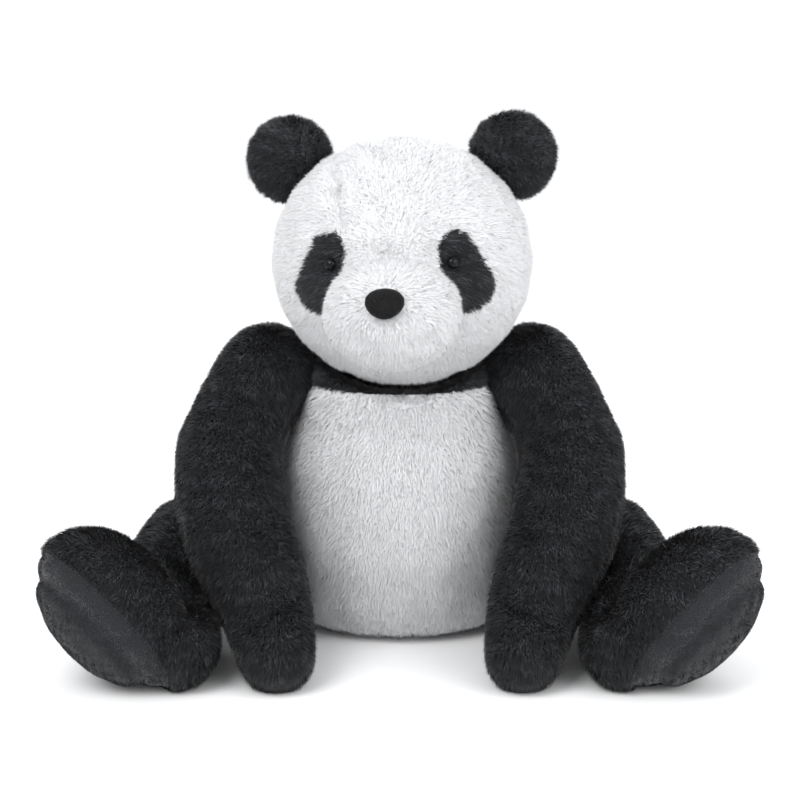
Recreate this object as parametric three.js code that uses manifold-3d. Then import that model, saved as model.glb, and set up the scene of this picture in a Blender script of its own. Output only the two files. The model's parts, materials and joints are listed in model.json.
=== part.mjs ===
// Seated plush panda. Millimetres, +Z up, the toy faces -Y, and it sits on the floor at Z = 0.
// Left and right are the toy's own: its left side is +X.
// Every sewn panel is an open shell. The fibre that fills the toy is in solids of its own behind the panels.

import * as THREE from 'three';
import { mergeVertices } from 'three/addons/utils/BufferGeometryUtils.js';
import Module from 'manifold-3d';

const wasm = await Module();
wasm.setup();

// ---------- cloth, seams and clearances ----------
const cloth = 5; // a plush panel with its pile pressed down
const seam = 0.4; // between two sewn panels
const fillGap = 0.8; // between a panel and the fibre behind it
const jointGap = 5; // round each ball of fibre that turns in a hollow
const far = 1200; // longer than the toy, for the blocks that cut it

// ---------- body ----------
const bodyWidth = 306;
const bodyDepth = 268;
const bodyHeight = 350;
const seatWidth = 200; // the flat that it sits on
const yokeDrop = 23.5; // the black yoke begins this far below the neck's centre, and the white below it
const seatSeam = 10; // how high the seat panel turns up
const dishGap = 16; // room under the head for it to nod
// The side of the body, as [how far inside its widest line, height above the floor].
const bodyBulge = [[25, 12], [7, 45], [0, 100], [6, 150]];
// Above the bulge the same, with the height as a share of the body's height.
const bodyTaper = [[15, 0.57], [31, 0.7], [40, 0.82], [54, 0.92], [92, 1]];

// ---------- arms ----------
const shoulderRadius = 56;
const shoulderDrop = 52; // shoulder centre below the top of the body
const shoulderOut = 1; // shoulder centre outside the body's widest line
const shoulderForward = 13; // shoulder centre in front of the body's middle
const armBow = 42; // how far the arm bows out from the shoulder
const armReach = 239; // how far forward the paw lies from the shoulder
const pawRadius = 42;
const pawInward = 20; // paw centre nearer the middle than the shoulder
const upperArmRadius = 54;
const elbowRadius = 60;
const forearmRadius = 58;
const wristRadius = 49;
const pawFlat = 4; // how much of the paw is pressed flat on the floor
const elbowOut = 32; // arm's middle outside the shoulder, half way down
const wristOut = -3; // the same at the wrist
// Where the arm passes, as shares of its reach forward and its fall from shoulder to paw.
const armShares = { upper: [0.22, 0.28], elbow: [0.5, 0.56], wrist: [0.77, 0.82] };
const armGap = 1.5; // least gap where an arm is pressed against a leg or the body
const legRoom = 2; // least gap between a leg and the body, outside the hip's hollow

// ---------- legs ----------
const hipRadius = 80;
const hipInset = 18; // hip centre inside the body's widest line
const hipBack = 12; // hip centre behind the body's middle
const hipFlat = 1.5; // how much of the leg is pressed flat on the floor
const kneeRadius = 76;
const kneeOut = 99; // knee centre outside the hip centre
const kneeForward = 26; // knee centre in front of the hip centre
const ankleRadius = 58;
const ankleOut = 134;
const ankleForward = 128;
const heelRadius = 48;
const heelOut = 109;
const heelForward = 262;
const footOut = 176; // foot centre outside the hip centre
const footRise = 10; // foot centre above the hip centre
const footForward = 258; // foot centre in front of the hip centre
const footLength = 200; // along the sole
const footBreadth = 168; // across the sole
const footThickness = 136; // through the sole
const soleSeam = 36; // from the foot's middle to the seam round the sole
const soleFaces = new THREE.Vector3(0.67, -0.44, -0.58); // the left sole looks out, forward and down
const toesPoint = new THREE.Vector3(0.707, 0.156, 0.687); // the left toes point out and up

// ---------- head ----------
const headWidth = 292;
const headDepth = 260;
const headHeight = 277;
const neckAside = 8; // the neck sits a little to the toy's left of the middle
const headForward = 43; // head centre in front of the body's middle
const headArmGap = 10; // least gap between head and shoulders
const neckSink = 17; // neck centre above the lowest point of the head
const neckForward = 10; // neck centre in front of the shoulders
const neckRadius = 48;
const neckBandHeight = 22;
const headTurn = -5.5; // degrees, a slight look towards the toy's right
const headRoll = -1.8; // degrees, its right ear a little lower
const chinMargin = 6; // the chin is this much wider than the neck's hollow on each side
const backSeam = 40; // the back panel begins this far behind the head's middle

const muzzleWidth = 146;
const muzzleHeight = 116;
const muzzleDepth = 150;
const muzzleSink = 5; // muzzle centre behind the head's foremost point
const muzzleDrop = 37; // muzzle centre below the head's middle

const noseWidth = 42;
const noseHeight = 33;
const noseDepth = 18;
const noseLift = 22; // nose centre above the muzzle's middle
const noseFlare = 0.14; // how much wider than its middle the nose is at its top, as a share
const shankRadius = 3;
const shankGap = 0.5;
const shankLength = 17;
const washerRadius = 10;
const washerThickness = 2.4;
const washerClearance = 1; // round the washer, in the fibre
const washerRoom = 4.5; // between a panel and the washer behind it, for the panel's curve

const eyeRadius = 6.5;
const eyeBaseRadius = 5.85;
const eyeRim = 1; // height of the eye's edge over its base
const eyeDome = 4.55; // height of the dome over the edge
const eyeSpread = 67; // eye centre from the middle of the face
const eyeLift = 16; // eye centre above the head's middle
const patchTilt = 18; // degrees that the patch leans out towards its foot
const patchLength = 90;
const patchTopWidth = 40;
const patchFootWidth = 54;
const patchOut = 7; // patch centre outside the eye
const patchDrop = 11; // patch centre below the eye

const earRadius = 52;
const earThickness = 36;
const earAngle = 42; // degrees above level, from the head's middle
const earStandOff = 31; // ear centre outside the head's surface
const earBack = 26; // ear centre behind the head's middle
const earRootGap = 6; // lets the ear bend without meeting the head

// ---------- tail ----------
const tailRadius = 27;
const tailLength = 62;
const tailHeight = 70;
const tailGap = 7; // lets the tail bend without meeting the back

// ---------- toe stitches ----------
const threadRadius = 0.9;
const threadStand = 1.2; // of the stitch off the pile
const stitchPlaces = { upper: 58, lower: 6 }; // along the sole from the foot's middle
const stitchEnd = 6; // how far above the foot's middle plane each stitch stops
const stitchBends = 5;

// ---------- materials ----------
const looks = {
  blackPlush: { color: 0x1b1c1f, roughness: 0.95, metalness: 0 },
  whitePlush: { color: 0xf2f2f0, roughness: 0.95, metalness: 0 },
  blackSole: { color: 0x26282c, roughness: 0.9, metalness: 0 },
  fibre: { color: 0xfafaf7, roughness: 1, metalness: 0 },
  flockedNose: { color: 0x0d0d0f, roughness: 0.85, metalness: 0 },
  eyePlastic: { color: 0x050505, roughness: 0.12, metalness: 0 },
  washerPlastic: { color: 0xe6e3da, roughness: 0.5, metalness: 0 },
  thread: { color: 0x0c0c0e, roughness: 0.7, metalness: 0 },
};

const toy = new THREE.Group();
const degrees = Math.PI / 180;

// ---------- geometry helpers ----------
function solid(geometry) {
  const bare = geometry.index ? geometry.clone() : geometry;
  bare.deleteAttribute('normal');
  bare.deleteAttribute('uv');
  const merged = mergeVertices(bare, 1e-3);
  const index = merged.index.array;
  const kept = [];
  for (let i = 0; i < index.length; i += 3) {
    const [a, b, c] = [index[i], index[i + 1], index[i + 2]];
    if (a !== b && b !== c && c !== a) kept.push(a, b, c);
  }
  const vertProperties = new Float32Array(merged.attributes.position.array);
  const triVerts = new Uint32Array(kept);
  return new wasm.Manifold(new wasm.Mesh({ numProp: 3, vertProperties, triVerts }));
}

function addPiece(name, shape, look, parent = toy) {
  const data = shape.getMesh();
  const geometry = new THREE.BufferGeometry();
  geometry.setAttribute('position', new THREE.BufferAttribute(data.vertProperties, 3));
  geometry.setIndex(new THREE.BufferAttribute(data.triVerts, 1));
  geometry.computeVertexNormals();
  const mesh = new THREE.Mesh(geometry, new THREE.MeshStandardMaterial(looks[look]));
  mesh.name = name;
  parent.add(mesh);
  return mesh;
}

function blob(centre, radii, around = 16, up = 10, basis = null) {
  const geometry = new THREE.SphereGeometry(1, around, up);
  geometry.rotateX(90 * degrees);
  geometry.scale(radii.x, radii.y, radii.z);
  if (basis) geometry.applyMatrix4(basis);
  geometry.translate(centre.x, centre.y, centre.z);
  return solid(geometry);
}

function ball(centre, radius) {
  return blob(centre, new THREE.Vector3(radius, radius, radius), 12, 8);
}

function shrunk(radii, by) {
  return new THREE.Vector3(radii.x - by, radii.y - by, radii.z - by);
}

// A block that fills everything on the far side of a plane.
function beyond(point, normal) {
  const geometry = new THREE.BoxGeometry(far, far, far);
  geometry.translate(0, 0, far / 2);
  const upright = new THREE.Vector3(0, 0, 1);
  const turn = new THREE.Quaternion().setFromUnitVectors(upright, normal.clone().normalize());
  geometry.applyQuaternion(turn);
  geometry.translate(point.x, point.y, point.z);
  return solid(geometry);
}

// Cuts a shell in two along a plane and leaves the seam between them.
function split(shape, point, normal) {
  const half = normal.clone().normalize().multiplyScalar(seam / 2);
  const front = shape.intersect(beyond(point.clone().add(half), normal));
  const back = shape.intersect(beyond(point.clone().sub(half), normal.clone().negate()));
  return [front, back];
}

// A round limb along a curve, with a round cap at each end. The radii are evenly spaced along it.
function limb(points, radii, inset, sides = 10, rings = 7) {
  const path = new THREE.CatmullRomCurve3(points);
  const length = path.getLength();
  const first = radii[0] - inset;
  const last = radii[radii.length - 1] - inset;
  const radiusAt = (s) => {
    const place = THREE.MathUtils.clamp(s / length, 0, 1) * (radii.length - 1);
    const low = Math.min(Math.floor(place), radii.length - 2);
    const blend = THREE.MathUtils.smoothstep(place - low, 0, 1);
    return THREE.MathUtils.lerp(radii[low], radii[low + 1], blend) - inset;
  };
  const profile = [];
  const capSteps = 3;
  for (let i = 0; i <= capSteps; i++) {
    const turn = (i / capSteps) * 90 * degrees;
    profile.push(new THREE.Vector2(first * Math.sin(turn), -first * Math.cos(turn)));
  }
  for (let i = 1; i < rings; i++) {
    const s = (i / rings) * length;
    profile.push(new THREE.Vector2(radiusAt(s), s));
  }
  for (let i = capSteps; i >= 0; i--) {
    const turn = (i / capSteps) * 90 * degrees;
    profile.push(new THREE.Vector2(last * Math.sin(turn), length + last * Math.cos(turn)));
  }
  profile[0].x = 0;
  profile[profile.length - 1].x = 0;
  const geometry = new THREE.LatheGeometry(profile, sides);
  const place = geometry.attributes.position;
  const side = new THREE.Vector3();
  const over = new THREE.Vector3();
  for (let i = 0; i < place.count; i++) {
    const s = place.getY(i);
    const u = THREE.MathUtils.clamp(s / length, 0, 1);
    const centre = path.getPointAt(u);
    const along = path.getTangentAt(u);
    side.set(1, 0, 0).addScaledVector(along, -along.x).normalize();
    over.crossVectors(along, side);
    centre.addScaledVector(along, s - u * length);
    centre.addScaledVector(side, -place.getX(i)).addScaledVector(over, place.getZ(i));
    place.setXYZ(i, centre.x, centre.y, centre.z);
  }
  return solid(geometry);
}

// The point on an oval body that lies straight ahead of (x, z), with the direction that it faces.
function faceOf(centre, radii, x, z) {
  const rest = 1 - (x / radii.x) ** 2 - (z / radii.z) ** 2;
  const y = -radii.y * Math.sqrt(rest);
  const point = new THREE.Vector3(x, y, z);
  const normal = new THREE.Vector3(x / radii.x ** 2, y / radii.y ** 2, z / radii.z ** 2).normalize();
  return { point: point.add(centre), normal };
}

// Puts a geometry that stands along +Z onto a face, at a depth along the face's direction.
function onFace(geometry, face, depth = 0) {
  const side = new THREE.Vector3(0, 0, 1).cross(face.normal).normalize();
  const over = new THREE.Vector3().crossVectors(face.normal, side);
  const frame = new THREE.Matrix4().makeBasis(side, over, face.normal);
  frame.setPosition(face.point.clone().addScaledVector(face.normal, depth));
  geometry.applyMatrix4(frame);
  return solid(geometry);
}

function post(radius, from, to, sides = 8) {
  const geometry = new THREE.CylinderGeometry(radius, radius, to - from, sides);
  geometry.rotateX(90 * degrees);
  geometry.translate(0, 0, (from + to) / 2);
  return geometry;
}

// ---------- places that several pieces share ----------
const origin = new THREE.Vector3();
const upward = new THREE.Vector3(0, 0, 1);
const belowFloor = beyond(origin, upward.clone().negate());
const shoulder = new THREE.Vector3(
  bodyWidth / 2 + shoulderOut,
  -shoulderForward,
  bodyHeight - shoulderDrop,
);
const hip = new THREE.Vector3(bodyWidth / 2 - hipInset, hipBack, hipRadius - hipFlat);
const headRadii = new THREE.Vector3(headWidth / 2, headDepth / 2, headHeight / 2);

// The head stands as high over the shoulders as its width and the gap ask for.
const reachOver = shoulderRadius + headArmGap;
const acrossShare = (shoulder.x / (headRadii.x + reachOver)) ** 2;
const alongShare = ((headForward - shoulderForward) / (headRadii.y + reachOver)) ** 2;
const headRise = (headRadii.z + reachOver) * Math.sqrt(1 - acrossShare - alongShare);
const neck = new THREE.Vector3(
  neckAside,
  shoulder.y - neckForward,
  shoulder.z + headRise - headRadii.z + neckSink,
);
const headCentre = new THREE.Vector3(0, -headForward - neck.y, headRadii.z - neckSink);
const yokeHeight = neck.z - yokeDrop;
const gussetWidth = 2 * (neckRadius + jointGap + chinMargin); // the strip from the nose over the crown

const mirrored = (v, side) => new THREE.Vector3(v.x * side, v.y, v.z);
const sides = { left: 1, right: -1 };

// ---------- head: its group turns about the neck ----------
const head = new THREE.Group();
head.position.copy(neck);
head.rotation.set(0, headRoll * degrees, headTurn * degrees, 'ZYX');
head.updateMatrix();
toy.add(head);

const headInside = shrunk(headRadii, cloth);
const headFill = shrunk(headRadii, cloth + fillGap);
const muzzleRadii = new THREE.Vector3(muzzleWidth / 2, muzzleDepth / 2, muzzleHeight / 2);
const muzzleCentre = headCentre.clone().add(new THREE.Vector3(0, muzzleSink - headRadii.y, -muzzleDrop));
const neckRoom = ball(origin, neckRadius + jointGap);

function patchOutline(side, grow) {
  const shape = new THREE.Shape();
  const top = patchTopWidth / 2 + grow;
  const foot = patchFootWidth / 2 + grow;
  const half = patchLength / 2 + grow;
  shape.absarc(0, half - top, top, 0, 180 * degrees, false);
  shape.absarc(0, foot - half, foot, 180 * degrees, 360 * degrees, false);
  shape.closePath();
  const options = { depth: headDepth, bevelEnabled: false, curveSegments: 5 };
  const geometry = new THREE.ExtrudeGeometry(shape, options);
  geometry.rotateZ(patchTilt * degrees * side);
  geometry.rotateX(90 * degrees);
  const x = (eyeSpread + patchOut) * side;
  geometry.translate(headCentre.x + x, headCentre.y, headCentre.z + eyeLift - patchDrop);
  return solid(geometry);
}

const noseFace = faceOf(muzzleCentre, muzzleRadii, 0, noseLift);
const eyeFaces = {};
for (const [name, side] of Object.entries(sides)) {
  eyeFaces[name] = faceOf(headCentre, headRadii, eyeSpread * side, eyeLift);
}

function shankHole(face) {
  return onFace(post(shankRadius + shankGap, -shankLength - 2 * shankGap, cloth), face);
}

function washerPocket(face) {
  const depth = -shankLength - 2 * washerClearance;
  return onFace(post(washerRadius + washerClearance, depth, fillGap - cloth, 12), face);
}

function washer(face) {
  const top = -cloth - washerRoom;
  const ring = [
    new THREE.Vector2(shankRadius + shankGap, top - washerThickness),
    new THREE.Vector2(washerRadius, top - washerThickness),
    new THREE.Vector2(washerRadius, top),
    new THREE.Vector2(shankRadius + shankGap, top),
    new THREE.Vector2(shankRadius + shankGap, top - washerThickness),
  ];
  const geometry = new THREE.LatheGeometry(ring, 12);
  geometry.rotateX(90 * degrees);
  return onFace(geometry, face);
}

function buildHead() {
  const outer = blob(headCentre, headRadii);
  const muzzleRoom = blob(muzzleCentre, shrunk(muzzleRadii, -seam), 14, 8);
  let shell = outer.subtract(blob(headCentre, headInside));
  shell = shell.subtract(neckRoom).subtract(muzzleRoom);
  for (const [name, side] of Object.entries(sides)) {
    const patchShell = shell.intersect(patchOutline(side, -seam / 2));
    addPiece(`eye_patch_${name}`, patchShell.subtract(shankHole(eyeFaces[name])), 'blackPlush', head);
    shell = shell.subtract(patchOutline(side, seam / 2));
  }
  const backEdge = headCentre.clone().setY(headCentre.y + backSeam);
  const [front, back] = split(shell, backEdge, new THREE.Vector3(0, -1, 0));
  addPiece('head_back', back, 'whitePlush', head);
  const edge = (side) => new THREE.Vector3(headCentre.x + (gussetWidth / 2) * side, 0, 0);
  const [leftSide, rest] = split(front, edge(1), new THREE.Vector3(1, 0, 0));
  const [rightSide, middle] = split(rest, edge(-1), new THREE.Vector3(-1, 0, 0));
  addPiece('head_side_left', leftSide, 'whitePlush', head);
  addPiece('head_side_right', rightSide, 'whitePlush', head);
  const [crown, chin] = split(middle, muzzleCentre, upward);
  addPiece('head_gusset', crown, 'whitePlush', head);
  addPiece('chin', chin, 'whitePlush', head);

  let fill = blob(headCentre, headFill).subtract(neckRoom);
  for (const face of Object.values(eyeFaces)) {
    fill = fill.subtract(washerPocket(face)).subtract(shankHole(face));
  }
  const headHollow = blob(headCentre, headInside);
  addPiece('head_filling', fill, 'fibre', head);

  let muzzle = blob(muzzleCentre, muzzleRadii, 14, 8);
  muzzle = muzzle.subtract(blob(muzzleCentre, shrunk(muzzleRadii, cloth), 14, 8));
  muzzle = muzzle.subtract(headHollow).subtract(shankHole(noseFace));
  addPiece('muzzle', muzzle, 'whitePlush', head);
  let muzzleFill = blob(muzzleCentre, shrunk(muzzleRadii, cloth + fillGap), 14, 8);
  muzzleFill = muzzleFill.subtract(headHollow).subtract(washerPocket(noseFace));
  muzzleFill = muzzleFill.subtract(shankHole(noseFace));
  addPiece('muzzle_filling', muzzleFill, 'fibre', head);
}

function buildNose() {
  const dome = new THREE.SphereGeometry(1, 14, 8);
  dome.scale(noseWidth / 2, noseHeight / 2, noseDepth / 2);
  const topWider = dome.attributes.position;
  for (let i = 0; i < topWider.count; i++) {
    const rise = topWider.getY(i) / (noseHeight / 2);
    topWider.setX(i, topWider.getX(i) * (1 + noseFlare * rise));
  }
  const button = onFace(dome, noseFace, noseDepth / 4);
  const clear = blob(muzzleCentre, shrunk(muzzleRadii, -seam), 14, 8);
  const shank = onFace(post(shankRadius, -shankLength, noseDepth / 4), noseFace);
  addPiece('nose', button.subtract(clear).add(shank), 'flockedNose', head);
  addPiece('nose_washer', washer(noseFace), 'washerPlastic', head);
}

function buildEye(name) {
  const face = eyeFaces[name];
  const profile = [new THREE.Vector2(0, -shankLength), new THREE.Vector2(shankRadius, -shankLength)];
  profile.push(new THREE.Vector2(shankRadius, seam), new THREE.Vector2(eyeBaseRadius, seam));
  const domeSteps = 5;
  for (let i = 1; i <= domeSteps; i++) {
    const turn = (i / domeSteps) * 90 * degrees;
    profile.push(new THREE.Vector2(eyeRadius * Math.cos(turn), seam + eyeRim + eyeDome * Math.sin(turn)));
  }
  profile[profile.length - 1].x = 0;
  const geometry = new THREE.LatheGeometry(profile, 12);
  geometry.rotateX(90 * degrees);
  addPiece(`eye_${name}`, onFace(geometry, face), 'eyePlastic', head);
  addPiece(`eye_washer_${name}`, washer(face), 'washerPlastic', head);
}

function buildEar(name, side) {
  const out = new THREE.Vector3(Math.cos(earAngle * degrees) * side, 0, Math.sin(earAngle * degrees));
  const level = Math.sqrt(1 - (earBack / headRadii.y) ** 2);
  const toSurface = level / Math.hypot(out.x / headRadii.x, out.z / headRadii.z);
  const centre = headCentre.clone().addScaledVector(out, toSurface + earStandOff);
  centre.y += earBack;
  const radii = new THREE.Vector3(earRadius, earThickness / 2, earRadius);
  const headRoom = blob(headCentre, shrunk(headRadii, -earRootGap));
  const hollow = blob(centre, shrunk(radii, cloth), 14, 8);
  const shell = blob(centre, radii, 14, 8).subtract(hollow).subtract(headRoom);
  const [front, back] = split(shell, centre, new THREE.Vector3(0, -1, 0));
  addPiece(`ear_front_${name}`, front, 'blackPlush', head);
  addPiece(`ear_back_${name}`, back, 'blackPlush', head);
  const fill = blob(centre, shrunk(radii, cloth + fillGap), 14, 8).subtract(headRoom);
  addPiece(`ear_filling_${name}`, fill, 'fibre', head);
}

// ---------- neck: a black band round a ball of fibre ----------
function buildNeck() {
  const half = neckBandHeight / 2;
  const within = Math.sqrt(neckRadius ** 2 - half ** 2);
  const band = [
    new THREE.Vector2(within - cloth, -half),
    new THREE.Vector2(within, -half),
    new THREE.Vector2(neckRadius, 0),
    new THREE.Vector2(within, half),
    new THREE.Vector2(within - cloth, half),
    new THREE.Vector2(within - cloth, -half),
  ];
  const ring = new THREE.LatheGeometry(band, 16);
  ring.rotateX(90 * degrees);
  ring.translate(neck.x, neck.y, neck.z);
  addPiece('neck_band', solid(ring), 'blackPlush');
  const coreRadius = within - cloth - fillGap;
  const core = new THREE.CylinderGeometry(coreRadius, coreRadius, 2 * neckRadius, 16);
  core.rotateX(90 * degrees);
  core.translate(neck.x, neck.y, neck.z);
  addPiece('neck_filling', ball(neck, neckRadius - fillGap).intersect(solid(core)), 'fibre');
}

// ---------- body ----------
function bodyForm(inset) {
  const rows = [[(bodyWidth - seatWidth) / 2, 0], ...bodyBulge];
  for (const [inside, share] of bodyTaper) rows.push([inside, share * bodyHeight]);
  const profile = [new THREE.Vector2(0, inset)];
  for (const [inside, height] of rows) {
    const z = THREE.MathUtils.clamp(height, inset, bodyHeight - inset);
    profile.push(new THREE.Vector2(bodyWidth / 2 - inside - inset, z));
  }
  profile.push(new THREE.Vector2(0, bodyHeight - inset));
  const geometry = new THREE.LatheGeometry(profile, 18);
  geometry.rotateX(90 * degrees);
  geometry.scale(1, bodyDepth / bodyWidth, 1);
  return solid(geometry);
}

// The hollows for the head, the neck and the roots of the arms and legs.
function bodyHollows() {
  const worldHead = headCentre.clone().applyMatrix4(head.matrix);
  let hollows = blob(worldHead, shrunk(headRadii, -dishGap));
  hollows = hollows.add(ball(neck, neckRadius + jointGap));
  for (const side of Object.values(sides)) {
    hollows = hollows.add(ball(mirrored(shoulder, side), shoulderRadius + jointGap));
    hollows = hollows.add(ball(mirrored(hip, side), hipRadius + jointGap));
    hollows = hollows.add(legForm(side, -legRoom).shape);
  }
  return hollows;
}

function buildBody() {
  const hollows = bodyHollows();
  const shell = bodyForm(0).subtract(bodyForm(cloth)).subtract(hollows);
  const [above, seat] = split(shell, new THREE.Vector3(0, 0, seatSeam), upward);
  addPiece('seat_panel', seat, 'whitePlush');
  const [yoke, lower] = split(above, new THREE.Vector3(0, 0, yokeHeight), upward);
  // The yoke's side seams run in line with the shoulders.
  const [yokeFront, yokeBack] = split(yoke, shoulder, new THREE.Vector3(0, -1, 0));
  addPiece('yoke_front', yokeFront, 'blackPlush');
  addPiece('yoke_back', yokeBack, 'blackPlush');
  const [belly, back] = split(lower, origin, new THREE.Vector3(0, -1, 0));
  addPiece('belly_panel', belly, 'whitePlush');
  const [backLeft, backRight] = split(back, origin, new THREE.Vector3(1, 0, 0));
  addPiece('back_panel_left', backLeft, 'whitePlush');
  addPiece('back_panel_right', backRight, 'whitePlush');
  addPiece('body_filling', bodyForm(cloth + fillGap).subtract(hollows), 'fibre');
}

// ---------- arms ----------
function buildArm(name, side) {
  const drop = shoulder.z - (pawRadius - pawFlat);
  const along = (out, [reach, fall]) =>
    new THREE.Vector3((shoulder.x + out) * side, shoulder.y - reach * armReach, shoulder.z - fall * drop);
  const points = [
    along(0, [0, 0]),
    along(armBow, armShares.upper),
    along(elbowOut, armShares.elbow),
    along(wristOut, armShares.wrist),
    along(-pawInward, [1, 1]),
  ];
  const upperRadii = [shoulderRadius, upperArmRadius, elbowRadius];
  const radii = [...upperRadii, elbowRadius, forearmRadius, wristRadius, pawRadius];
  const pressedBy = (gap) => {
    const trunk = bodyForm(-armGap - gap).subtract(bodyHollows());
    return trunk.add(legForm(side, -armGap - gap).shape);
  };
  const outer = limb(points, radii, 0).subtract(belowFloor).subtract(pressedBy(0));
  const clothFloor = beyond(new THREE.Vector3(0, 0, cloth), upward.clone().negate());
  const inner = limb(points, radii, cloth).subtract(clothFloor).subtract(pressedBy(cloth));
  const slope = new THREE.Vector3(0, -drop, armReach);
  const [front, back] = split(outer.subtract(inner), shoulder, slope);
  addPiece(`arm_front_${name}`, front, 'blackPlush');
  addPiece(`arm_back_${name}`, back, 'blackPlush');
  const fillFloor = beyond(new THREE.Vector3(0, 0, cloth + fillGap), upward.clone().negate());
  const fillForm = limb(points, radii, cloth + fillGap).subtract(fillFloor);
  const fill = fillForm.subtract(pressedBy(cloth + fillGap));
  addPiece(`arm_filling_${name}`, fill, 'fibre');
}

// ---------- legs ----------
function footFrame(side) {
  const outward = mirrored(soleFaces, side).normalize();
  const toes = mirrored(toesPoint, side);
  toes.addScaledVector(outward, -toes.dot(outward)).normalize();
  const across = new THREE.Vector3().crossVectors(outward, toes);
  return { outward, toes, across };
}

function legForm(side, inset) {
  const root = mirrored(hip, side);
  const foot = root.clone().add(new THREE.Vector3(footOut * side, -footForward, footRise));
  const { outward, toes, across } = footFrame(side);
  const basis = new THREE.Matrix4().makeBasis(toes, across, outward);
  const radii = new THREE.Vector3(footLength / 2, footBreadth / 2, footThickness / 2);
  const onFloor = (out, reach, radius) =>
    new THREE.Vector3(root.x + out * side, root.y - reach, radius - hipFlat);
  const knee = onFloor(kneeOut, kneeForward, kneeRadius);
  const ankle = onFloor(ankleOut, ankleForward, ankleRadius);
  const heel = onFloor(heelOut, heelForward, heelRadius);
  const thigh = limb([root, knee], [hipRadius, kneeRadius], inset, 10, 1);
  const shin = limb([knee, ankle, heel], [kneeRadius, ankleRadius, heelRadius], inset, 10, 4);
  const leg = thigh.add(shin);
  const pad = blob(foot, shrunk(radii, inset), 14, 8, basis);
  const under = beyond(new THREE.Vector3(0, 0, inset), upward.clone().negate());
  return { shape: leg.add(pad).subtract(under), foot, outward, toes, across, radii };
}

function buildLeg(name, side) {
  const { shape, foot, outward, toes, across, radii } = legForm(side, 0);
  const shell = shape.subtract(legForm(side, cloth).shape);
  const seamPlace = foot.clone().addScaledVector(outward, soleSeam);
  const [sole, rest] = split(shell, seamPlace, outward);
  addPiece(`sole_${name}`, sole, 'blackSole');
  const [upper, under] = split(rest, hip, upward);
  addPiece(`leg_upper_${name}`, upper, 'blackPlush');
  addPiece(`leg_under_${name}`, under, 'blackPlush');
  addPiece(`leg_filling_${name}`, legForm(side, cloth + fillGap).shape, 'fibre');
  for (const [row, place] of Object.entries(stitchPlaces)) {
    const share = Math.sqrt(1 - (place / radii.x) ** 2);
    const lift = threadRadius + threadStand;
    const start = Math.asin((soleSeam - 2 * lift) / (radii.z * share));
    const end = Math.asin(stitchEnd / (radii.z * share));
    const points = [];
    for (let i = 0; i <= stitchBends; i++) {
      const turn = THREE.MathUtils.lerp(start, end, i / stitchBends);
      const point = foot.clone().addScaledVector(toes, place);
      point.addScaledVector(across, -(radii.y * share + lift) * Math.cos(turn) * side);
      point.addScaledVector(outward, (radii.z * share + lift) * Math.sin(turn));
      points.push(point);
    }
    const section = new THREE.Shape().absarc(0, 0, threadRadius, 0, 360 * degrees);
    const path = new THREE.CatmullRomCurve3(points);
    const options = { steps: 8, curveSegments: 3, bevelEnabled: false, extrudePath: path };
    addPiece(`toe_stitch_${row}_${name}`, solid(new THREE.ExtrudeGeometry(section, options)), 'thread');
  }
}

// ---------- tail ----------
function buildTail() {
  const level = bodyForm(-tailGap);
  const start = new THREE.Vector3(0, bodyDepth / 2 - tailRadius, tailHeight);
  const end = start.clone().add(new THREE.Vector3(0, tailLength - tailRadius, 0));
  const form = (inset) => limb([start, end], [tailRadius, tailRadius], inset, 12, 3);
  const shell = form(0).subtract(form(cloth)).subtract(level);
  addPiece('tail', shell, 'whitePlush');
  addPiece('tail_filling', form(cloth + fillGap).subtract(level), 'fibre');
}

buildBody();
buildNeck();
buildHead();
buildNose();
for (const [name, side] of Object.entries(sides)) {
  buildEye(name);
  buildEar(name, side);
  buildArm(name, side);
  buildLeg(name, side);
}
buildTail();

export default toy;
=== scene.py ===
import json
import math

import bmesh
import bpy
import numpy as np
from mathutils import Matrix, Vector
from mathutils.bvhtree import BVHTree


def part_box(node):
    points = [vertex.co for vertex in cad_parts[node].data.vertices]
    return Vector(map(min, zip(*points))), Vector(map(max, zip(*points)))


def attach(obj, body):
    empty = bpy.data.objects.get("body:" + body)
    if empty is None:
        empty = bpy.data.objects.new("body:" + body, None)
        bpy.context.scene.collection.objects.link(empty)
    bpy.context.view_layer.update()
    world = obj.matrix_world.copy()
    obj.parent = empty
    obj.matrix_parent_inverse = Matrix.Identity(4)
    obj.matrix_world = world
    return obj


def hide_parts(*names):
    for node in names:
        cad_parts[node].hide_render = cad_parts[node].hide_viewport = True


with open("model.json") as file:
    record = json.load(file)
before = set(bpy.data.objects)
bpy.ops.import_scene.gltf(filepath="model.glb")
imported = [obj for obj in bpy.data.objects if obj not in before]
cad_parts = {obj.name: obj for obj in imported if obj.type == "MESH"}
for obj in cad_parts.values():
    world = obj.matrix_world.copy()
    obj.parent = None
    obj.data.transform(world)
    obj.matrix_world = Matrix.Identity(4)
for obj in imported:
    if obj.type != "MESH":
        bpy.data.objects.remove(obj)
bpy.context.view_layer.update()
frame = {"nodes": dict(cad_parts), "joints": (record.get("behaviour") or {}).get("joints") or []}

nodes = frame["nodes"]
jointPlace = {joint["name"]: Vector(joint["pos_m"]) for joint in frame["joints"]}
sides = {"left": 1, "right": -1}

surface = {
    "sheenRoughness": 0.45,
    "grainDetail": 4,
    "glossSpread": 0.08,  # how far the grain moves the roughness either way
    "bumpDistance": 0.001,
}


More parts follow.
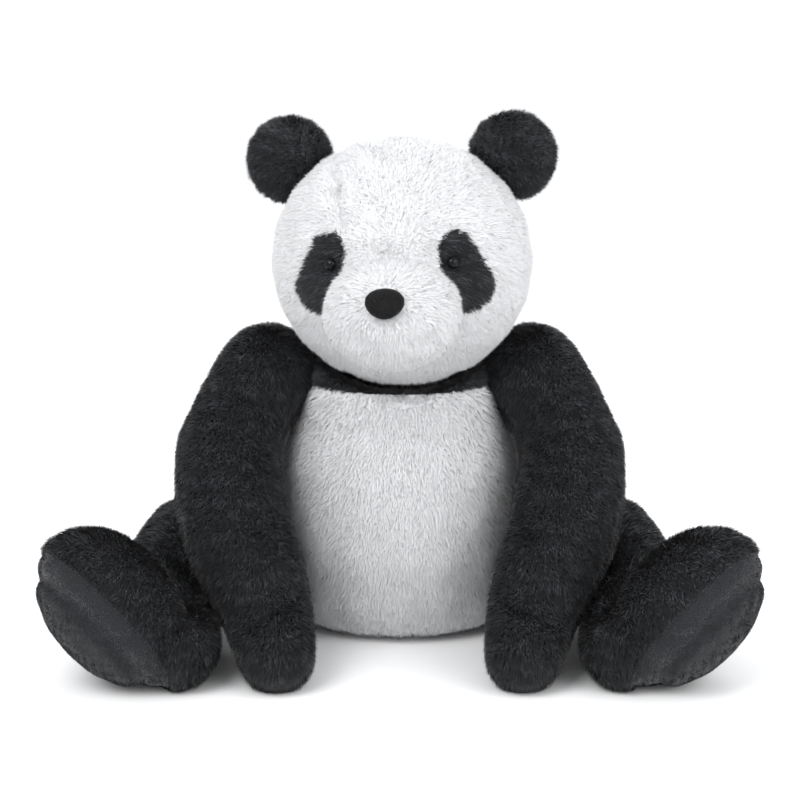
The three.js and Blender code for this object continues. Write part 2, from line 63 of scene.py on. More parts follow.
def finish(name, colour, roughness, grainScale, bump, mottle=0.0, sheen=0.0, specular=0.5):
    material = bpy.data.materials.new(name)
    material.use_nodes = True
    tree = material.node_tree
    shader = tree.nodes["Principled BSDF"]
    shader.inputs["Base Color"].default_value = (*colour, 1)
    shader.inputs["Sheen Weight"].default_value = sheen
    shader.inputs["Sheen Roughness"].default_value = surface["sheenRoughness"]
    shader.inputs["Specular IOR Level"].default_value = specular
    place = tree.nodes.new("ShaderNodeTexCoord")
    grain = tree.nodes.new("ShaderNodeTexNoise")
    grain.inputs["Scale"].default_value = grainScale
    grain.inputs["Detail"].default_value = surface["grainDetail"]
    tree.links.new(place.outputs["Object"], grain.inputs["Vector"])
    gloss = tree.nodes.new("ShaderNodeMapRange")  # the grain also makes the gloss uneven
    gloss.inputs["To Min"].default_value = max(0.0, roughness - surface["glossSpread"])
    gloss.inputs["To Max"].default_value = min(1.0, roughness + surface["glossSpread"])
    tree.links.new(grain.outputs["Fac"], gloss.inputs["Value"])
    tree.links.new(gloss.outputs["Result"], shader.inputs["Roughness"])
    raised = tree.nodes.new("ShaderNodeBump")
    raised.inputs["Strength"].default_value = bump
    raised.inputs["Distance"].default_value = surface["bumpDistance"]
    tree.links.new(grain.outputs["Fac"], raised.inputs["Height"])
    tree.links.new(raised.outputs["Normal"], shader.inputs["Normal"])
    if mottle:
        ramp = tree.nodes.new("ShaderNodeValToRGB")
        ramp.color_ramp.elements[0].color = (*[c * (1 - mottle) for c in colour], 1)
        ramp.color_ramp.elements[1].color = (*[min(1, c * (1 + mottle)) for c in colour], 1)
        tree.links.new(grain.outputs["Fac"], ramp.inputs["Fac"])
        tree.links.new(ramp.outputs["Color"], shader.inputs["Base Color"])
    return material


def pileShades(name, sheen, shades):
    return [
        finish(f"{name}{i}", shade, roughness=0.82, grainScale=900, bump=0.15, sheen=sheen)
        for i, shade in enumerate(shades)
    ]


whiteBacking = finish("white backing", (0.82, 0.825, 0.83), 0.9, 700, 0.5, mottle=0.08, sheen=0.2)
blackBacking = finish("black backing", (0.006, 0.006, 0.008), 0.9, 700, 0.5, mottle=0.25, sheen=0.1)
soleBacking = finish("sole backing", (0.012, 0.013, 0.016), 0.85, 900, 0.6, mottle=0.25, sheen=0.25)
whitePile = pileShades("white pile", 0.25, [
    (0.86, 0.865, 0.875),
    (0.91, 0.91, 0.915),
    (0.80, 0.81, 0.835),
])
blackPile = pileShades("black pile", 0.1, [
    (0.006, 0.0065, 0.008),
    (0.016, 0.018, 0.021),
    (0.062, 0.070, 0.080),
])
solePile = pileShades("sole pile", 0.2, [
    (0.014, 0.016, 0.019),
    (0.024, 0.027, 0.032),
    (0.050, 0.056, 0.066),
])
# the third band shade goes only on the strands along a sole's rim, as a painted highlight on the seam
bandPile = pileShades("smooth band", 0.3, [
    (0.040, 0.045, 0.053),
    (0.052, 0.058, 0.068),
    (0.070, 0.077, 0.090),
])
nosePile = pileShades("nose flock", 0.15, [(0.005, 0.005, 0.006), (0.009, 0.009, 0.010)])
noseBacking = finish("nose moulding", (0.006, 0.006, 0.007), 0.8, 2500, 0.5, mottle=0.2)
eyePlastic = finish("black eye plastic", (0.002, 0.002, 0.002), 0.12, 60, 0.02, specular=0.2)
washerPlastic = finish("washer plastic", (0.8, 0.78, 0.72), 0.5, 400, 0.1, mottle=0.05)
threadFinish = finish("waxed thread", (0.006, 0.006, 0.008), 0.6, 1800, 0.8, mottle=0.3, sheen=0.1)
floorFinish = finish("pale floor", (0.92, 0.92, 0.92), 0.8, 3, 0.0)


def isBlack(panel):
    return panel.startswith(("yoke", "neck", "eye_patch", "ear", "arm", "leg"))


def backingOf(panel):
    if panel.startswith("sole"):
        return soleBacking
    return blackBacking if isBlack(panel) else whiteBacking


def pileOf(panel):
    # the kind of pile, its shades and its slot
    if panel.startswith("sole"):
        return "sole", solePile, "black_sole"
    if panel.startswith("ear"):
        return "ear", blackPile, "black_plush"
    if panel == "muzzle":
        return "muzzle", whitePile, "white_plush"
    return ("black", blackPile, "black_plush") if isBlack(panel) else ("white", whitePile, "white_plush")


weldDistance = 1e-6
tiny = 1e-9  # keeps a division from meeting zero


def welded(mesh):
    shape = bmesh.new()
    shape.from_mesh(mesh)
    bmesh.ops.remove_doubles(shape, verts=shape.verts, dist=weldDistance)
    return shape


def treeOf(mesh):
    shape = welded(mesh)
    tree = BVHTree.FromBMesh(shape)
    shape.free()
    return tree


def placed(name, data):
    piece = bpy.data.objects.new(name, data)
    bpy.context.scene.collection.objects.link(piece)
    return piece


def weldedCopy(name, node):
    shape = welded(nodes[node].data)
    mesh = bpy.data.meshes.new(name)
    shape.to_mesh(mesh)
    shape.free()
    return placed(name, mesh)


def settled(piece):
    # the modifiers' outcome becomes the mesh itself
    graph = bpy.context.evaluated_depsgraph_get()
    mesh = bpy.data.meshes.new_from_object(piece.evaluated_get(graph))
    piece.modifiers.clear()
    piece.data = mesh


def remeshed(piece, voxel, softenings):
    remesh = piece.modifiers.new("squares", "REMESH")
    remesh.mode = "VOXEL"
    remesh.voxel_size = voxel
    smooth = piece.modifiers.new("soften", "SMOOTH")
    smooth.iterations = softenings
    settled(piece)


def pointsOf(mesh):
    points = np.empty(len(mesh.vertices) * 3, np.float32)
    mesh.vertices.foreach_get("co", points)
    return points.reshape(-1, 3).astype(float)


def normalsOf(mesh):
    normals = np.empty(len(mesh.vertices) * 3, np.float32)
    mesh.vertex_normals.foreach_get("vector", normals)
    return normals.reshape(-1, 3).astype(float)


def setPoints(mesh, points):
    mesh.vertices.foreach_set("co", points.astype(np.float32).ravel())
    mesh.update()


evening = {"inward": 0.5, "outward": -0.52}


def evened(mesh, values, rounds, keepSize=False):
    # each point moves towards the mean of its neighbours, and back out again if the size is to stay
    edges = np.empty(len(mesh.edges) * 2, np.int32)
    mesh.edges.foreach_get("vertices", edges)
    first, second = edges.reshape(-1, 2).T
    size = len(values)
    count = np.maximum(np.bincount(edges, minlength=size), 1)
    columns = values.reshape(size, -1).copy()
    steps = [evening["inward"], evening["outward"]] if keepSize else [evening["inward"]]
    for step in steps * rounds:
        for i in range(columns.shape[1]):
            column = columns[:, i]
            total = np.bincount(first, column[second], size) + np.bincount(second, column[first], size)
            columns[:, i] = column + step * (total / count - column)
    return columns.reshape(values.shape)


def nearestPanels(points, trees):
    # distance from each point to each panel
    found = np.empty((len(points), len(trees)))
    for column, tree in enumerate(trees):
        for row, point in enumerate(points):
            found[row, column] = tree.find_nearest(point)[3]
    return found


waves = {"count": 10, "slowest": 0.6, "fastest": 1.7}  # paces are shares of one wave in the asked size


def drift(points, size, seed):
    # smooth wandering vectors, about one long, that change over the given size
    chance = np.random.default_rng(seed)
    total = np.zeros_like(points)
    for _ in range(waves["count"]):
        direction = chance.normal(size=3)
        pace = chance.uniform(waves["slowest"], waves["fastest"])
        direction *= pace * 2 * math.pi / (size * np.linalg.norm(direction))
        total += np.sin(points @ direction + chance.uniform(0, 2 * math.pi))[:, None] * chance.normal(size=3)
    return total / math.sqrt(waves["count"])


def unit(vectors):
    return vectors / np.maximum(np.linalg.norm(vectors, axis=1, keepdims=True), tiny)


def fold(start, end, depth, width, slack=0.012):
    # a valley along a line, which may lie off the surface by the slack
    return {"start": np.array(start), "end": np.array(end), "depth": depth, "width": width, "slack": slack}


# folds that the stuffing leaves in the cloth
folds = {
    "head": [
        fold((-0.0745, -0.045, 0.546), (-0.069, -0.109, 0.525), 0.007, 0.005, 0.004),
        fold((-0.069, -0.109, 0.525), (-0.061, -0.142, 0.489), 0.007, 0.005, 0.004),
    ],
    "muzzle": [fold((-0.040, -0.222, 0.385), (0.025, -0.224, 0.383), 0.005, 0.007, 0.004)],
    "body": [
        fold((-0.075, -0.13, 0.285), (-0.062, -0.14, 0.262), 0.009, 0.009),
        fold((0.085, -0.13, 0.235), (0.070, -0.145, 0.205), 0.009, 0.010),
        fold((0, -0.15, 0.285), (0, -0.15, 0.04), 0.0022, 0.006),
    ],
}
for side, sign in sides.items():
    folds[f"arm_{side}"] = [
        fold((sign * 0.105, -0.235, 0.115), (sign * 0.165, -0.255, 0.092), 0.008, 0.012),
        fold((sign * 0.115, -0.145, 0.190), (sign * 0.150, -0.185, 0.175), 0.005, 0.013),
    ]
    folds[f"leg_{side}"] = [fold((sign * 0.270, -0.205, 0.150), (sign * 0.235, -0.245, 0.095), 0.009, 0.016)]


def pressFolds(points, normals, name):
    for valley in folds.get(name, []):
        start = valley["start"]
        along = valley["end"] - start
        share = np.clip((points - start) @ along / (along @ along), 0, 1)
        away = np.linalg.norm(points - (start + share[:, None] * along), axis=1)
        reach = np.maximum(away - valley["slack"], 0)
        points = points - normals * (valley["depth"] * np.exp(-((reach / valley["width"]) ** 2)))[:, None]
    return points


cloth = {
    "voxel": 0.005,  # size of the squares before the cloth is inflated
    "softenings": 2,
    "reach": 0.012,  # how far out a panel is looked for
    "hardReach": 0.011,  # how far round an eye's or nose's shank the panel's hole is bridged
    "pileRoom": 0.001,  # the woven back lies this far under the panel's outer face
    "growthRounds": 3,
    "shapeRounds": 24,
    "pressure": 4.0,
    "quality": 4,
    "mass": 0.3,
    "stiffness": 12,
    "bending": 0.6,
    "steps": 20,
    "mostSwell": 0.006,
    "seamDepth": 0.0035,
    "seamWidth": 0.007,
    "offFloor": 0.001,
}


def stuffed(piece, held):
    # pressure inflates the cloth, which stays put where no panel covers it
    before = pointsOf(piece.data)
    group = piece.vertex_groups.new(name="held")
    group.add([int(i) for i in np.flatnonzero(held)], 1.0, "REPLACE")
    modifier = piece.modifiers.new("stuffing", "CLOTH")
    settings = modifier.settings
    settings.quality = cloth["quality"]
    settings.mass = cloth["mass"]
    settings.use_pressure = True
    settings.uniform_pressure_force = cloth["pressure"]
    settings.tension_stiffness = cloth["stiffness"]
    settings.compression_stiffness = cloth["stiffness"]
    settings.bending_stiffness = cloth["bending"]
    settings.vertex_group_mass = "held"
    settings.effector_weights.gravity = 0
    modifier.point_cache.frame_start = 1
    modifier.point_cache.frame_end = cloth["steps"]
    for step in range(1, cloth["steps"] + 1):
        bpy.context.scene.frame_set(step)
    graph = bpy.context.evaluated_depsgraph_get()
    moved = pointsOf(piece.evaluated_get(graph).data) - before
    piece.modifiers.clear()
    bpy.context.scene.frame_set(1)
    piece.vertex_groups.clear()
    far = np.linalg.norm(moved, axis=1, keepdims=True)
    moved *= np.minimum(1, cloth["mostSwell"] / np.maximum(far, tiny))
    setPoints(piece.data, before + moved)


hardParts = [treeOf(nodes[name].data) for name in ("nose", "eye_left", "eye_right")]
stitchRoom = {"width": 0.010, "shortest": 0.1, "pull": 0.004}  # how each toe stitch gathers the cloth
stitchTrees = {
    f"leg_{side}": [treeOf(nodes[f"toe_stitch_{row}_{side}"].data) for row in ("upper", "lower")]
    for side in sides
}


def growthTo(trees, points, normals):
    # how far out from each point of the fibre the outer face of its panels lies
    growth = np.zeros(len(points))
    for row in range(len(points)):
        outward = Vector(normals[row])
        start = Vector(points[row]) + outward * cloth["reach"]
        hits = [tree.ray_cast(start, -outward, cloth["reach"])[3] for tree in trees]
        hits = [hit for hit in hits if hit is not None]
        if hits:
            growth[row] = cloth["reach"] - min(hits)
    nearHard = nearestPanels(points, hardParts).min(axis=1) < cloth["hardReach"]
    growth[nearHard] = np.median(growth[growth > 0])  # the cloth runs on over the washers' holes
    return growth


def cushion(name, part):
    piece = weldedCopy(f"{name}_cushion", part["fibre"])
    remeshed(piece, cloth["voxel"], cloth["softenings"])
    trees = [treeOf(nodes[panel].data) for panel in part["panels"]]
    points, normals = pointsOf(piece.data), normalsOf(piece.data)
    growth = growthTo(trees, points, normals)
    held = growth == 0
    growth = evened(piece.data, np.maximum(growth - cloth["pileRoom"], 0), cloth["growthRounds"])
    grown = points + normals * growth[:, None]
    setPoints(piece.data, evened(piece.data, grown, cloth["shapeRounds"], keepSize=True))
    stuffed(piece, held)
    points, normals = pointsOf(piece.data), normalsOf(piece.data)
    if len(trees) > 1:
        toSecond = np.sort(nearestPanels(points, trees), axis=1)[:, 1]
        depth = part.get("seamDepth", cloth["seamDepth"])
        dip = depth * np.exp(-((toSecond / cloth["seamWidth"]) ** 2))
        points = points - normals * np.where(held, 0, dip)[:, None]
    if name in stitchTrees:
        toStitch = nearestPanels(points, stitchTrees[name]).min(axis=1)
        dent = np.exp(-((toStitch / stitchRoom["width"]) ** 2))[:, None]
        points = points - normals * stitchRoom["pull"] * dent
    points = pressFolds(points, normals, name)
    points[:, 2] = np.maximum(points[:, 2], cloth["offFloor"])
    setPoints(piece.data, points)
    piece.modifiers.new("finer", "SUBSURF").levels = 1
    settled(piece)
    piece.data.shade_smooth()
    return piece, trees


# the pile on each part runs away from this point
combFrom = {
    "head": sum(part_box("nose"), Vector()) / 2,
    "body": jointPlace["neck_turn"],
    "neck": jointPlace["neck_turn"] + Vector((0, 0, 0.06)),
    "tail": jointPlace["tail_bend"],
}
for side in sides:
    combFrom[f"ear_{side}"] = jointPlace[f"ear_{side}_bend"]
    combFrom[f"arm_{side}"] = jointPlace[f"arm_{side}_raise"] + Vector((0, 0, 0.06))
    combFrom[f"leg_{side}"] = jointPlace[f"leg_{side}_swing"] + Vector((0, 0, 0.04))

# density is strands per square metre, and each lean is in degrees from upright
piles = {
    "white": {"length": 0.0095, "density": 1100000, "width": 0.0008, "lean": 40, "tipLean": 64, "mess": 0.35},
    "black": {"length": 0.0095, "density": 1000000, "width": 0.0008, "lean": 30, "tipLean": 56, "mess": 0.45},
    "ear": {"length": 0.0105, "density": 1300000, "width": 0.0008, "lean": 18, "tipLean": 48, "mess": 0.7},
    "muzzle": {"length": 0.0105, "density": 1300000, "width": 0.0008, "lean": 40, "tipLean": 64, "mess": 0.3},
    "sole": {"length": 0.0035, "density": 1300000, "width": 0.0006, "lean": 24, "tipLean": 50, "mess": 0.3},
    "nose": {"length": 0.0012, "density": 6000000, "width": 0.0004, "lean": 8, "tipLean": 20},
}
planting = {
    "mostStrands": 66000,  # on one panel
    "farFromPanel": 0.030,  # no pile grows on cloth further than this from every panel
}
seldomSeen = {"seat_panel": 0.3, "back_panel_left": 0.8, "back_panel_right": 0.8, "chin": 0.7}  # sparser pile


def rootsOn(piece, panel, part, density, chance):
    # strands stand at random places on the cloth that is nearest to this panel
    mesh = piece.data
    mesh.calc_loop_triangles()
    corners = np.empty(len(mesh.loop_triangles) * 3, np.int32)
    mesh.loop_triangles.foreach_get("vertices", corners)
    corners = corners.reshape(-1, 3)
    points, normals = pointsOf(mesh), normalsOf(mesh)
    apart = part["apart"][corners].mean(axis=1)
    nearest = apart.argmin(axis=1) == part["panels"].index(panel)
    corners = corners[nearest & (apart.min(axis=1) < planting["farFromPanel"])]
    a, b, c = (points[corners[:, i]] for i in range(3))
    area = np.linalg.norm(np.cross(b - a, c - a), axis=1) / 2
    count = int(min(planting["mostStrands"], area.sum() * density * seldomSeen.get(panel, 1)))
    chosen = chance.choice(len(corners), count, p=area / area.sum())
    u, v = chance.random((2, count))
    flip = u + v > 1
    u[flip], v[flip] = 1 - u[flip], 1 - v[flip]
    shares = np.stack([1 - u - v, u, v], axis=1)
    corners = corners[chosen]
    roots = (points[corners] * shares[:, :, None]).sum(axis=1)
    facing = unit((normals[corners] * shares[:, :, None]).sum(axis=1))
    apart = np.sort((part["apart"][corners] * shares[:, :, None]).sum(axis=1), axis=1)
    toSeam = apart[:, 1] if apart.shape[1] > 1 else np.full(count, 1.0)
    return roots, facing, toSeam


strand = {
    "leanSpread": 9,  # degrees
    "tipLeanSpread": 12,
    "twist": 0.5,
    "thinnest": 0.7,  # shares of the pile's width
    "thickest": 1.2,
    "middleWidth": 0.8,
    "sunk": 0.0008,
    "offFloor": 0.0006,
    "softLean": 0.35,  # how far each strand is shaded as if it leant
    "softSpread": 0.12,
}


def blades(roots, facing, lean, length, pile, chance):
    # each strand is a bent blade of five points: two at its root, two at its middle and its tip
    count = len(roots)
    startLean = np.radians(pile["lean"] + chance.normal(0, strand["leanSpread"], count))[:, None]
    endLean = np.radians(pile["tipLean"] + chance.normal(0, strand["tipLeanSpread"], count))[:, None]
    low = facing * np.cos(startLean) + lean * np.sin(startLean)
    high = facing * np.cos(endLean) + lean * np.sin(endLean)
    middle = roots + low * (0.5 * length)[:, None]
    tip = middle + high * (0.5 * length)[:, None]
    across = unit(np.cross(low, lean + strand["twist"] * chance.normal(size=(count, 3))))
    inward = (np.cross(across, low) * facing).sum(axis=1) < 0
    across *= np.where(inward, -1, 1)[:, None]  # each blade faces out
    thickness = chance.uniform(strand["thinnest"], strand["thickest"], count)[:, None]
    half = (pile["width"] / 2) * thickness * across
    narrow = half * strand["middleWidth"]
    sunk = roots - facing * strand["sunk"]
    points = np.stack([sunk - half, sunk + half, middle + narrow, middle - narrow, tip], axis=1)
    points = points.reshape(-1, 3)
    points[:, 2] = np.maximum(points[:, 2], strand["offFloor"])
    first = (np.arange(count) * 5)[:, None]
    faces = np.concatenate([first + [[0, 1, 2]], first + [[0, 2, 3]], first + [[3, 2, 4]]], axis=1)
    return points.astype(np.float32), faces.reshape(-1, 3)


shading = {
    "patchSize": 0.02,
    "patch": 0.4,
    "stray": 0.7,
    "steps": [0.25, 0.95],  # where the second and the third of three shades begin
    "pairStep": [0.6],  # where the second of two begins
}


def pileMesh(name, roots, facing, lean, length, pile, shades, chance, smooth=0):
    count = len(roots)
    points, faces = blades(roots, facing, lean, length, pile, chance)
    mesh = bpy.data.meshes.new(name)
    mesh.from_pydata(points, [], faces)
    for shade in shades + (bandPile if np.any(smooth) else []):
        mesh.materials.append(shade)
    patch = drift(roots, shading["patchSize"], 5)[:, 0] * shading["patch"]
    patch = patch + chance.normal(0, shading["stray"], count)
    shade = np.digitize(patch, shading["steps"] if len(shades) > 2 else shading["pairStep"])
    # band strands take the first two band shades; the rim's strands take the third, a painted highlight
    onBand = len(shades) + np.where(smooth > 1, 2, np.minimum(shade, 1))
    shade = np.where(smooth > 0, onBand, shade)
    mesh.polygons.foreach_set("material_index", np.repeat(shade, 3).astype(np.int32))
    mesh.shade_smooth()
    stray = strand["softSpread"] * chance.normal(size=(count, 3))
    soft = unit(facing + strand["softLean"] * lean + stray)
    mesh.normals_split_custom_set_from_vertices(np.repeat(soft, 5, axis=0))
    return placed(name, mesh)


comb = {
    "down": 0.8,
    "broad": 0.5,
    "broadSize": 0.035,
    "fine": 0.55,
    "fineSize": 0.011,
    "stray": 0.3,
    "shortest": 0.7,  # shares of the pile's length
    "longest": 1.15,
    "besideSeam": 0.6,
    "besideHeadSeam": 0.85,
}
roundHardParts = {"bare": 0.0045, "full": 0.014, "shortest": 0.2}
# the strands within the rim width of the sole seam carry a painted highlight
soleBand = {"width": 0.026, "edge": 0.008, "shortest": 0.16, "highlightRimWidth": 0.0025, "smoothUnder": 0.3}


def between(low, share):
    return low + (1 - low) * np.clip(share, 0, 1)


def growPile(piece, name, part, trees, panel):
    kind, shades, slot = pileOf(panel)
    pile = piles[kind]
    chance = np.random.default_rng([part["seed"] + 40, part["panels"].index(panel)])
    roots, facing, toSeam = rootsOn(piece, panel, part, pile["density"], chance)
    nearHard = np.full(len(roots), 1.0)
    if name == "head":
        nearHard = nearestPanels(roots, hardParts).min(axis=1)
    kept = nearHard > roundHardParts["bare"]
    roots, facing, toSeam, nearHard = roots[kept], facing[kept], toSeam[kept], nearHard[kept]
    broad = comb["broad"] * drift(roots, comb["broadSize"], 3)
    wander = broad + comb["fine"] * drift(roots, comb["fineSize"], 4)
    flow = unit(roots - np.array(combFrom[name])) + np.array([0, 0, -comb["down"]]) + pile["mess"] * wander
    flow += comb["stray"] * chance.normal(size=flow.shape)
    lean = unit(flow - facing * (flow * facing).sum(axis=1, keepdims=True))
    length = pile["length"] * chance.uniform(comb["shortest"], comb["longest"], len(roots))
    atSeam = comb["besideHeadSeam"] if name == "head" else comb["besideSeam"]
    length *= between(atSeam, toSeam / cloth["seamWidth"])
    length *= between(roundHardParts["shortest"], nearHard / roundHardParts["full"])
    smooth = np.zeros(len(roots), int)  # 1 on the smooth band round a sole, 2 along its rim, where the palest band shade is a painted highlight
    if name in stitchTrees:
        if not panel.startswith("sole"):
            sole = trees[part["panels"].index(name.replace("leg", "sole"))]
            toSole = nearestPanels(roots, [sole])[:, 0]
            outside = np.clip((toSole - soleBand["width"]) / soleBand["edge"], 0, 1)
            length *= between(soleBand["shortest"], outside)
            # the strands right along the sole seam get the palest band shade: a painted highlight
            onHighlightRim = np.where(toSole < soleBand["highlightRimWidth"], 2, 1)
            smooth = np.where(outside < soleBand["smoothUnder"], onHighlightRim, 0)
        toStitch = nearestPanels(roots, stitchTrees[name]).min(axis=1)
        length *= between(stitchRoom["shortest"], toStitch / stitchRoom["width"])
    grown = pileMesh(f"{panel}_pile", roots, facing, lean, length, pile, shades, chance, smooth)
    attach(grown, part["body"])
    return grown


faceBlend = {
    "behind": 0.006,  # what lies further than this from the muzzle panel is inside the head
    "sink": 0.009,
    "voxel": 0.004,
    "softenings": 1,
    "width": 0.020,
    "rounds": 34,
}


def joinedFace(head, muzzle, headTrees, muzzleTrees):
    # the muzzle and the head become one skin, softened where they meet
    back = pointsOf(muzzle.data)
    behind = nearestPanels(back, muzzleTrees)[:, 0] > faceBlend["behind"]
    back[behind, 1] += faceBlend["sink"]
    setPoints(muzzle.data, back)
    shape = bmesh.new()
    shape.from_mesh(head.data)
    shape.from_mesh(muzzle.data)
    shape.to_mesh(head.data)
    shape.free()
    bpy.data.objects.remove(muzzle)
    remeshed(head, faceBlend["voxel"], faceBlend["softenings"])
    points = pointsOf(head.data)
    toHead = nearestPanels(points, headTrees).min(axis=1)
    toMuzzle = nearestPanels(points, muzzleTrees).min(axis=1)
    share = np.exp(-(((toHead + toMuzzle) / faceBlend["width"]) ** 2))[:, None]
    softer = evened(head.data, points, faceBlend["rounds"])
    setPoints(head.data, points + share * (softer - points))
    head.data.shade_smooth()


# Each stuffed part: the body it rides on, its fibre, how full it is, and the panels sewn round it.
stuffedParts = {
    "body": {
        "body": "body", "fibre": "body_filling", "fill": 0.7, "seed": 11,
        "panels": ["belly_panel", "back_panel_left", "back_panel_right", "yoke_front", "yoke_back",
                   "seat_panel"],
    },
    "neck": {"body": "neck", "fibre": "neck_filling", "fill": 0.6, "seed": 12, "panels": ["neck_band"]},
    "head": {
        "body": "head", "fibre": "head_filling", "fill": 0.85, "seed": 13, "seamDepth": 0.0012,
        "panels": ["head_gusset", "head_side_left", "head_side_right", "head_back", "chin",
                   "eye_patch_left", "eye_patch_right"],
    },
    "muzzle": {"body": "head", "fibre": "muzzle_filling", "fill": 0.85, "seed": 14, "panels": ["muzzle"]},
    "tail": {"body": "tail", "fibre": "tail_filling", "fill": 0.6, "seed": 15, "panels": ["tail"]},
}
for side, sign in sides.items():
    stuffedParts[f"ear_{side}"] = {
        "body": f"ear_{side}", "fibre": f"ear_filling_{side}", "fill": 0.6, "seed": 16 + sign,
        "panels": [f"ear_front_{side}", f"ear_back_{side}"],
    }
    stuffedParts[f"arm_{side}"] = {
        "body": f"arm_{side}", "fibre": f"arm_filling_{side}", "fill": 0.7, "seed": 20 + sign,
        "panels": [f"arm_front_{side}", f"arm_back_{side}"],
    }
    stuffedParts[f"leg_{side}"] = {
        "body": f"leg_{side}", "fibre": f"leg_filling_{side}", "fill": 0.7, "seed": 24 + sign,
        "panels": [f"leg_upper_{side}", f"leg_under_{side}", f"sole_{side}"],
    }

cushions = {name: cushion(name, part) for name, part in stuffedParts.items()}
print("cloth stuffed")

face = stuffedParts.pop("muzzle")
headPiece, headTrees = cushions["head"]
muzzlePiece, muzzleTrees = cushions.pop("muzzle")
joinedFace(headPiece, muzzlePiece, headTrees, muzzleTrees)
stuffedParts["head"]["panels"] += face["panels"]
cushions["head"] = headPiece, headTrees + muzzleTrees
print("head and muzzle joined")

for name, part in stuffedParts.items():
    piece, trees = cushions[name]
    for panel in part["panels"]:
        if backingOf(panel).name not in piece.data.materials:
            piece.data.materials.append(backingOf(panel))
    part["apart"] = nearestPanels(pointsOf(piece.data), trees)
    order = [piece.data.materials.find(backingOf(panel).name) for panel in part["panels"]]
    apart = part["apart"]
    nearest = [apart[list(polygon.vertices)].mean(axis=0).argmin() for polygon in piece.data.polygons]
    piece.data.polygons.foreach_set("material_index", [order[i] for i in nearest])
    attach(piece, part["body"])
    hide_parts(part["fibre"], *part["panels"])
    if name == "head":
        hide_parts(face["fibre"])
    print("stuffed", name, len(piece.data.polygons), "faces")

total = 0
for name, part in stuffedParts.items():
    piece, trees = cushions[name]
    for panel in part["panels"]:
        total += len(growPile(piece, name, part, trees, panel).data.polygons)
print("pile grown,", total, "triangles")

bead = {"radius": 0.0068, "dome": 0.0052, "sunk": 0.0015, "around": 32, "rings": 24}


def eye(side):
    # a glossy domed bead where the eye's base meets the patch
    points = pointsOf(nodes[f"eye_{side}"].data)
    headMiddle = np.array(sum(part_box("head_filling"), Vector()) / 2)
    centre = np.array(sum(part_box(f"eye_{side}"), Vector()) / 2)
    outward = centre - headMiddle
    spread = points - points.mean(axis=0)
    axis = np.linalg.svd(spread, full_matrices=False)[2][0]  # the shank is the longest way through the eye
    axis *= np.sign(axis @ outward)
    base = points[(points @ axis).argmax()] - axis * bead["dome"]
    shape = bmesh.new()
    bmesh.ops.create_uvsphere(shape, u_segments=bead["around"], v_segments=bead["rings"], radius=1)
    turn = Vector(axis).to_track_quat("Z", "Y")
    for vertex in shape.verts:
        low = vertex.co.z < 0
        place = Vector((vertex.co.x, vertex.co.y, 0)) * bead["radius"]
        place.z = vertex.co.z * (bead["sunk"] if low else bead["dome"])
        vertex.co = Vector(base) + turn @ place
    mesh = bpy.data.meshes.new(f"eye_{side}_bead")
    shape.to_mesh(mesh)
    shape.free()
    mesh.materials.append(eyePlastic)
    mesh.shade_smooth()
    piece = placed(f"eye_{side}_bead", mesh)
    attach(piece, "head")
    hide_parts(f"eye_{side}")


noseButton = {"voxel": 0.0012, "softenings": 10, "shortest": 0.7, "longest": 1.1, "seed": 71}


def nose():
    button = weldedCopy("nose_button", "nose")
    remeshed(button, noseButton["voxel"], noseButton["softenings"])
    button.data.materials.clear()
    button.data.materials.append(noseBacking)
    button.data.shade_smooth()
    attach(button, "head")
    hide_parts("nose")
    pile = piles["nose"]
    chance = np.random.default_rng(noseButton["seed"])
    part = {"panels": ["nose"], "apart": np.zeros((len(button.data.vertices), 1))}
    roots, facing, _ = rootsOn(button, "nose", part, pile["density"], chance)
    lean = unit(np.cross(facing, chance.normal(size=facing.shape)))
    length = pile["length"] * chance.uniform(noseButton["shortest"], noseButton["longest"], len(roots))
    flock = pileMesh("nose_flock", roots, facing, lean, length, pile, nosePile, chance)
    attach(flock, "head")


for side in sides:
    eye(side)
nose()
print("eyes and nose done")


def refinished(node, material):
    node.data.materials.clear()
    node.data.materials.append(material)
    node.data.shade_smooth()


for name, node in nodes.items():
    if name.startswith("toe_stitch"):
        refinished(node, threadFinish)
    elif "washer" in name:
        refinished(node, washerPlastic)
print("washers and stitches done")

# one pale sweep: flat under the toy, then curving up behind it
sweep = {"halfWidth": 14, "front": -14, "bend": 3.0, "radius": 2.5, "height": 9, "steps": 16}


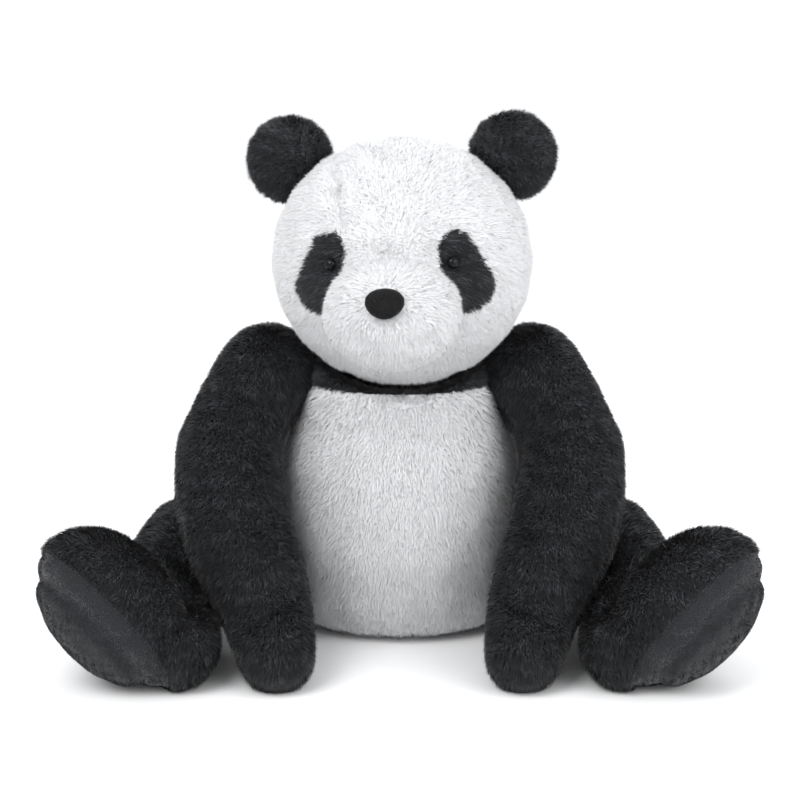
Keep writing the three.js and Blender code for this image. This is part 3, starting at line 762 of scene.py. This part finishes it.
def sweepLine():
    line = [(sweep["front"], 0), (sweep["bend"], 0)]
    for i in range(1, sweep["steps"] + 1):
        turn = math.pi / 2 * i / sweep["steps"]
        forward = sweep["bend"] + sweep["radius"] * math.sin(turn)
        line.append((forward, sweep["radius"] * (1 - math.cos(turn))))
    line.append((sweep["bend"] + sweep["radius"], sweep["height"]))
    return line


floorMesh = bpy.data.meshes.new("floor")
ends = [[(end * sweep["halfWidth"], y, z) for y, z in sweepLine()] for end in (-1, 1)]
row = len(ends[0])
strips = [(i, row + i, row + i + 1, i + 1) for i in range(row - 1)]
floorMesh.from_pydata(ends[0] + ends[1], [], strips)
floorMesh.shade_smooth()
floorMesh.materials.append(floorFinish)
placed("floor", floorMesh)

studio = {
    "lightsAim": (0, -0.05, 0.3),
    "skyColour": (0.97, 0.98, 1.0, 1),
    "skyStrength": 1.05,
    "cameraBack": 2.652,
    "cameraHeight": 0.875,
    "cameraDown": 13,  # degrees
    "lens": 104.7,
}
lamps = {
    "key": {"place": (-1.3, -1.9, 2.3), "size": 1.6, "power": 54},
    "fill": {"place": (1.8, -1.6, 1.4), "size": 2.0, "power": 32},
    "rim": {"place": (0.4, 1.8, 2.0), "size": 1.6, "power": 15},
}
for name, lamp in lamps.items():
    data = bpy.data.lights.new(name, "AREA")
    data.size = lamp["size"]
    data.energy = lamp["power"]
    hung = placed(name, data)
    hung.location = lamp["place"]
    aim = Vector(studio["lightsAim"]) - Vector(lamp["place"])
    hung.rotation_euler = aim.to_track_quat("-Z", "Y").to_euler()

world = bpy.data.worlds.new("studio")
world.use_nodes = True
sky = world.node_tree.nodes["Background"]
sky.inputs["Color"].default_value = studio["skyColour"]
sky.inputs["Strength"].default_value = studio["skyStrength"]
bpy.context.scene.world = world

camera = placed("camera", bpy.data.cameras.new("camera"))
camera.data.lens = studio["lens"]
camera.location = (0, -studio["cameraBack"], studio["cameraHeight"])
camera.rotation_euler = (math.radians(90 - studio["cameraDown"]), 0, 0)
bpy.context.scene.camera = camera
bpy.context.scene.view_settings.view_transform = "Standard"

print("scene ready")
